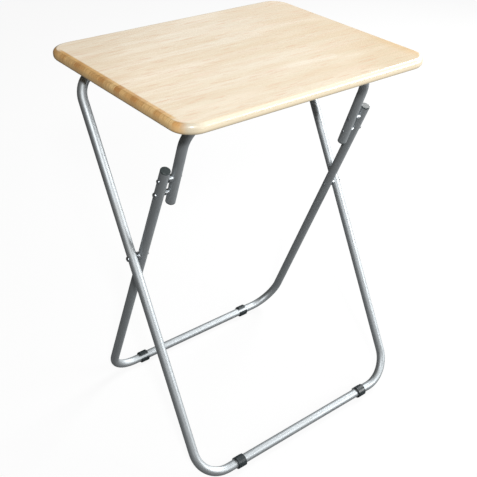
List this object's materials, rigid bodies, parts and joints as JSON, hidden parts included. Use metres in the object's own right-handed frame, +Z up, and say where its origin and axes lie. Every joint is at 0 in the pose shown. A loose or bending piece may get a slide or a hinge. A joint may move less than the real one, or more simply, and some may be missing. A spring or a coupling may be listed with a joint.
{
  "type": "folding tray table",
  "caption": "Folding tray table: a rounded rectangular board on two crossed tubular leg frames that close like scissors.",
  "frame": {"origin": "on the floor, under the middle of the whole object's box at rest", "axes": "+Z up, X along the long side of the top, -Y towards the front, where the outer leg frame stands"},
  "size_m": [0.48, 0.4154, 0.655],
  "materials": {
    "beech_foil": "printed beech foil, clear gloss",
    "fibreboard": "raw fibreboard",
    "backing_sheet": "plain backing sheet",
    "silver_tube": "satin silver paint on steel tube",
    "bare_steel": "plain steel",
    "bright_metal": "bright plated",
    "black_plastic": "moulded black",
    "grey_plastic": "moulded grey"
  },
  "bodies": {
    "outer_frame": {"outer_frame_tube": "silver_tube", "outer_frame_sleeve": "bare_steel", "pivot_rivet_left": "bright_metal", "pivot_rivet_right": "bright_metal", "pivot_spacer_left": "bright_metal", "pivot_spacer_right": "bright_metal", "outer_foot_left": "black_plastic", "outer_foot_right": "black_plastic"},
    "inner_frame": {"inner_frame_lower_tube": "silver_tube", "inner_frame_upper_tube": "silver_tube", "lap_rivets_left": "bright_metal", "lap_rivets_right": "bright_metal", "lap_spacers_upper": "bright_metal", "lap_spacers_lower": "bright_metal", "lower_tube_plug_left": "grey_plastic", "lower_tube_plug_right": "grey_plastic", "upper_tube_plug_left": "grey_plastic", "upper_tube_plug_right": "grey_plastic", "inner_foot_left": "black_plastic", "inner_foot_right": "black_plastic"},
    "table_top": {"table_top_core": "fibreboard", "table_top_foil": "beech_foil", "table_top_backing": "backing_sheet", "hinge_bracket_left": "black_plastic", "hinge_bracket_right": "black_plastic", "snap_clip_left": "black_plastic", "snap_clip_right": "black_plastic", "hinge_screws": "bright_metal", "clip_screws": "bright_metal"}
  },
  "joints": [
    {"name": "leg_fold", "type": "hinge", "parent": "outer_frame", "child": "inner_frame", "pos_m": [0, -0.00381, 0.3627], "axis": [-1, 0, 0], "range_deg": [0, 48.5]},
    {"name": "top_tilt", "type": "hinge", "parent": "outer_frame", "child": "table_top", "pos_m": [0, 0.14047, 0.626], "axis": [-1, 0, 0], "range_deg": [0, 116.4]}
  ],
  "couplings": [
    {"joint": "top_tilt", "follows": "leg_fold", "ratio": 2.4}
  ]
}
